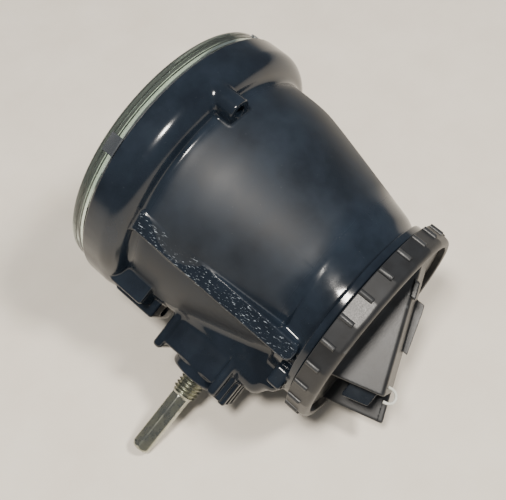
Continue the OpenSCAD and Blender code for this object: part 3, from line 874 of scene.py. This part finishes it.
class OBJECT_OT_fog_connector(FogLightPiece, bpy.types.Operator):
    """Rear panel with its connector housing, keyed tongue, latch loop and breather"""

    bl_idname = "object.fog_connector"
    bl_label = "Rear panel and connector"

    def execute(self, context):
        cell = 0.5
        blended_piece("connector_housing", shell_field(self.sizes()), (-34, 91, -38),
                      (44, 121, 38), cell, "cap", "rear_cap", "cap_plastic", ("cap_shell",), 120000)
        tongue = [(4.2, 101.6), (29.0, 101.6), (29.6, 102.4), (26.9, 110.9), (26.2, 111.3),
                  (19.4, 111.3), (4.2, 105.0)]
        points = [(x, y, z) for z in (-1.1, 5.7) for x, y in tongue]
        count = len(tongue)
        faces = [list(range(count)), list(range(2 * count - 1, count - 1, -1))]
        faces += [[i, count + i, count + (i + 1) % count, (i + 1) % count] for i in range(count)]
        piece = new_piece("keyed_tongue", points, faces, "body", "rear_cap", "tongue_plastic",
                          ("connector_tongue",))
        soften(piece, 0.35)
        stops = [(21.6, 114.6, 9.6), (21.0, 116.4, 9.2), (19.8, 117.4, 8.6), (18.2, 117.2, 7.8),
                 (16.9, 116.0, 7.0), (16.6, 114.4, 6.4), (16.9, 112.9, 6.0)]
        new_piece("plug_latch_loop", *tube(curve_through(stops), 0.55, 14), "nylon", "rear_cap",
                  "loop_plastic", ("latch_loop",))
        button = ((0, -0.02), (5, -0.02), (5, 1.2), (4.6, 1.6), (3.4, 1.6), (3.2, 2.1), (2.8, 2.4),
                  (0, 2.4))
        points, faces = lathe([(r, PANEL_END + rise) for r, rise in button], 48, -14)
        points = [(px, py, pz - 23) for px, py, pz in points]
        new_piece("breather_cap", points, faces, "cap", "rear_cap", "cap_plastic", ("breather",))
        return {"FINISHED"}


class OBJECT_OT_fog_screw(FogLightPiece, bpy.types.Operator):
    """Aiming screw with its cut thread and chamfered hexagonal shank"""

    bl_idname = "object.fog_screw"
    bl_label = "Aiming screw"

    def execute(self, context):
        s = self.sizes()
        start, end, steps, sides = 46.8, 69.6, 40, 48
        crest, root = 4.93, 4.05
        rows = int((end - start) / s.thread_pitch * steps)
        thread = []
        for i in range(rows + 1):
            x = start + (end - start) * i / rows
            fade = max(min(1.0, (end - x) / 1.6, (x - start) / 0.8), 0)
            for a in ring_angles(sides):
                turn = (x / s.thread_pitch - a / (2 * math.pi)) % 1
                tooth = min(1.0, max(0.0, (0.5 - abs(turn - 0.5)) * 2 * 1.25 - 0.1))
                r = root + (crest - root) * tooth * fade - (1 - fade) * 0.25
                thread.append((x, s.screw_y + r * math.cos(a), r * math.sin(a)))
        parts = [(thread, stacked(rows + 1, sides))]
        # The shank: a plain root, the hexagon, and a chamfer from here to the tip
        half_flat = s.hex_af / 2
        corner = half_flat / math.cos(math.pi / 6)
        chamfer, around = s.screw_tip - 1.6, 72
        stations = [69.0, 69.6, 70.6, 71.4]
        stations += [s.screw_tip - back for back in (1.7, 1.4, 1.1, 0.8, 0.5, 0.25, 0)]
        shank = []
        for x in stations:
            if x < chamfer:
                limit = 3.7 if x < 69.5 else 3.95 if x < 70.5 else corner - 0.12
            else:
                limit = min(corner - 0.12, corner + 0.03 - (x - chamfer) * 0.52)
            for a in ring_angles(around):
                flat = half_flat / math.cos((a + math.pi / 6) % (math.pi / 3) - math.pi / 6)
                r = min(flat, limit, corner - 0.12)
                shank.append((x, s.screw_y + r * math.cos(a), r * math.sin(a)))
        parts.append((shank, stacked(len(stations), around)))
        ball = [(0, 43.1), (3.9, 43.1), (4.2, 43.4), (4.2, 44.4), (3.9, 44.7), (3, 44.7),
                (3, 46.8), (0, 46.8)]
        points, faces = lathe(ball, 48)
        points = [(py, s.screw_y + px, pz) for px, py, pz in points]
        parts.append((points, [face[::-1] for face in faces]))
        new_piece("aiming_screw", *merge(*parts), "zinc", "adjuster", "zinc_steel",
                  ("aim_screw",), 28)
        return {"FINISHED"}


def soften(piece, width_mm, segments=3):
    """Rounds a piece's hard edges."""
    edge = piece.modifiers.new("edges", "BEVEL")
    edge.width = width_mm * MM
    edge.segments = segments
    edge.limit_method = "ANGLE"
    edge.angle_limit = math.radians(30)
    edge.harden_normals = True


class OBJECT_OT_fog_inside(FogLightPiece, bpy.types.Operator):
    """Reflector, glare cup, bulb and neck seal"""

    bl_idname = "object.fog_inside"
    bl_label = "Reflector, bulb and seals"

    def execute(self, context):
        hole, skin = 10.0, 1.1
        bowl = [(r, BOWL_VERTEX - r * r / (4 * BOWL_FOCAL))
                for r in np.linspace(hole, BOWL_OPENING, 40)]
        outline = bowl + [(42.2, 2.0), (42.8, 1.72), (49.3, 1.72), (49.5, 1.9), (49.5, 2.8),
                          (43.6, 2.88)]
        outline += [(r + skin, y + skin) for r, y in bowl[-2::-1]]
        outline += [(hole + 1.2, BOWL_VERTEX + 1.9), (hole, BOWL_VERTEX + 1.9)]
        new_piece("reflector_bowl", *lathe(outline, 180), "mirror", "lamp", "mirror_coat",
                  ("reflector",), 50)
        dome_y, outer_r, inner_r, crimp_y = 22.6, 5.6, 4.8, BULB_BASE - 2.2
        envelope = arc((0, dome_y), outer_r, -90, 0, 12) + [(outer_r, crimp_y), (inner_r, crimp_y)]
        envelope += arc((0, dome_y), inner_r, 0, -90, 12)
        new_piece("bulb_envelope", *lathe(envelope, 64), "quartz", "lamp", "bulb_glass",
                  ("bulb_glass",))
        turns, length, coil_r, per_turn = 9, 5.2, 0.5, 14
        coil = []
        for i in range(turns * per_turn + 1):
            a = 2 * math.pi * i / per_turn
            coil.append((length * (i / (turns * per_turn) - 0.5),
                         BOWL_VERTEX - BOWL_FOCAL + coil_r * math.cos(a), coil_r * math.sin(a)))
        new_piece("filament_coil", *tube(coil, 0.14, 8), "tungsten", "lamp", "tungsten",
                  ("bulb_filament",))
        seal = lathe(arc((35.55, 87.3), 0.88, 0, 345, 23), 140, self.sizes().ring_shift)
        new_piece("neck_o_ring", *seal, "rubber", "lamp", "seal_rubber", ("cap_seal",))
        cup = [(0, 8.1), (6.9, 8.1)] + arc((6.9, 10.1), 2.0, -80, 0, 6) + [(8.9, 18.8), (8.3, 18.9)]
        cup += arc((6.9, 10.3), 1.4, 0, -80, 6) + [(0, 8.8)]
        bends = [(17.0, 8.4), (17.0, 24.8), (17.6, 26.0), (18.6, 26.5), (24.0, 26.5)]
        strip = ((-2.5, 0, 0), (2.5, 0, 0), (2.5, 0.7, -0.1), (-2.5, 0.7, -0.1))
        leg_points = [(x, y + dy, z + dz) for y, z in bends for x, dy, dz in strip]
        leg = (leg_points, stacked(len(bends), len(strip)))
        new_piece("glare_cup", *merge(lathe(cup, 72), leg), "paint", "lamp", "dark_steel",
                  ("bulb_shield",))
        return {"FINISHED"}


# Finishes of the nodes kept from the frame
CARRIED = {
    "reflector_screws": "pressed", "shield_rivets": "pressed", "bulb_holder": "pressed",
    "holder_rivets": "pressed", "bulb_base": "pressed", "bulb_blades": "brass",
    "bulb_clip": "spring", "clip_hooks": "pressed", "lead_sockets": "brass",
    "connector_pins": "brass", "aim_nut": "brass", "aim_seal": "rubber", "stop_washer": "pressed",
}


class OBJECT_OT_fog_fittings(FogLightPiece, bpy.types.Operator):
    """Finishes for the fittings kept from the frame, and the two inner leads"""

    bl_idname = "object.fog_fittings"
    bl_label = "Fittings and leads"

    def execute(self, context):
        for node, finish in CARRIED.items():
            mesh = frame["nodes"][node].data
            mesh.materials.clear()
            mesh.materials.append(FINISHES[finish])
        start = BULB_BASE + 18.4
        leads = []
        for side in (-1, 1):
            x = side * 3.4
            stops = [(x, start, 0), (x, start + 6, 0), (x + 2.4, start + 13, side * 3),
                     (x + 4.6, start + 20.3, side * 3)]
            leads.append(tube(curve_through(stops), 1.1, 16))
        new_piece("inner_lead_pair", *merge(*leads), "silicone", "lamp", "lead_insulation",
                  ("inner_leads",))
        return {"FINISHED"}


class OBJECT_OT_fog_stage(FogLightPiece, bpy.types.Operator):
    """Pale bench, soft lights and the camera"""

    bl_idname = "object.fog_stage"
    bl_label = "Stage"

    def execute(self, context):
        colours = context.scene.fog_light_colours
        # Matt painted board: pale and warm, with a faint orange peel
        made = plain_finish("board, matt paint", colours.floor, "#d2cbbf", 0.7, 30, 0.05)
        mesh = bpy.data.meshes.new("bench")
        half = 1.5
        corners = [(-half, -half, 0), (half, -half, 0), (half, half, 0), (-half, half, 0)]
        mesh.from_pydata(corners, [], [[0, 1, 2, 3]])
        bench = bpy.data.objects.new("bench", mesh)
        context.scene.collection.objects.link(bench)
        mesh.materials.append(made)
        world = bpy.data.worlds.new("room")
        world.use_nodes = True
        background = world.node_tree.nodes["Background"]
        background.inputs["Color"].default_value = linear("#e8ecf2")
        background.inputs["Strength"].default_value = 0.2
        context.scene.world = world
        target = Vector((0, 0, 0.04))
        for name, spot, width, power, mirrored in LIGHTS:
            data = bpy.data.lights.new(name, "AREA")
            data.size = width
            data.energy = power
            data.color = linear("#fff8ee")[:3]
            lamp = bpy.data.objects.new(name, data)
            lamp.location = spot
            lamp.visible_glossy = mirrored
            lamp.rotation_euler = (target - Vector(spot)).to_track_quat("-Z", "Y").to_euler()
            context.scene.collection.objects.link(lamp)
        data = bpy.data.cameras.new("camera")
        data.sensor_width = 36
        data.lens = CAMERA["lens"]
        camera = bpy.data.objects.new("camera", data)
        azimuth, elevation, roll = (
            math.radians(CAMERA[key]) for key in ("azimuth", "elevation", "roll")
        )
        level = math.cos(elevation)
        back = Vector((math.sin(azimuth) * level, -math.cos(azimuth) * level, math.sin(elevation)))
        camera.rotation_mode = "QUATERNION"
        rolled = Matrix.Rotation(roll, 4, "Z").to_quaternion()
        camera.rotation_quaternion = back.to_track_quat("Z", "Y") @ rolled
        camera.location = Vector(CAMERA["target"]) * MM + back * CAMERA["distance"] * MM
        context.scene.collection.objects.link(camera)
        context.scene.camera = camera
        return {"FINISHED"}


# Viewing angle in degrees, lens in millimetres, target and distance in millimetres
CAMERA = {
    "azimuth": 133.06, "elevation": 56.94, "roll": -1.8, "lens": 60.5,
    "target": (-5.8, -9.4, 45.0), "distance": 317.3,
}
# Name, place in metres, width in metres, power in watts and whether gloss mirrors it
LIGHTS = (
    ("key", (0.363, 0.075, 1.08), 0.17, 16.0, True),
    ("side", (-0.34, 0.53, 1.06), 0.2, 17.0, False),
    ("fill", (0.6, -0.1, 0.5), 0.7, 0.8, False),
)

OPERATORS = (
    OBJECT_OT_fog_stage, OBJECT_OT_fog_housing, OBJECT_OT_fog_lens, OBJECT_OT_fog_ring,
    OBJECT_OT_fog_connector, OBJECT_OT_fog_screw, OBJECT_OT_fog_inside, OBJECT_OT_fog_fittings,
)


class VIEW3D_PT_fog_light(bpy.types.Panel):
    """Lists the pieces of the fog light"""

    bl_label = "Fog Light"
    bl_idname = "VIEW3D_PT_fog_light"
    bl_space_type = "VIEW_3D"
    bl_region_type = "UI"
    bl_category = "Fog Light"

    def draw(self, context):
        for operator in OPERATORS:
            self.layout.operator(operator.bl_idname)


CLASSES = (FogLightSizes, FogLightColours, *OPERATORS, VIEW3D_PT_fog_light)


def register():
    """Registers the classes and the two groups of properties."""
    for item in CLASSES:
        bpy.utils.register_class(item)
    bpy.types.Scene.fog_light_sizes = PointerProperty(type=FogLightSizes)
    bpy.types.Scene.fog_light_colours = PointerProperty(type=FogLightColours)


def unregister():
    """Removes what register made."""
    del bpy.types.Scene.fog_light_colours
    del bpy.types.Scene.fog_light_sizes
    for item in reversed(CLASSES):
        bpy.utils.unregister_class(item)


def main():
    """Builds every piece."""
    register()
    make_finishes(bpy.context.scene.fog_light_colours)
    for operator in OPERATORS:
        group, name = operator.bl_idname.split(".")
        getattr(getattr(bpy.ops, group), name)()


if __name__ == "__main__":
    main()
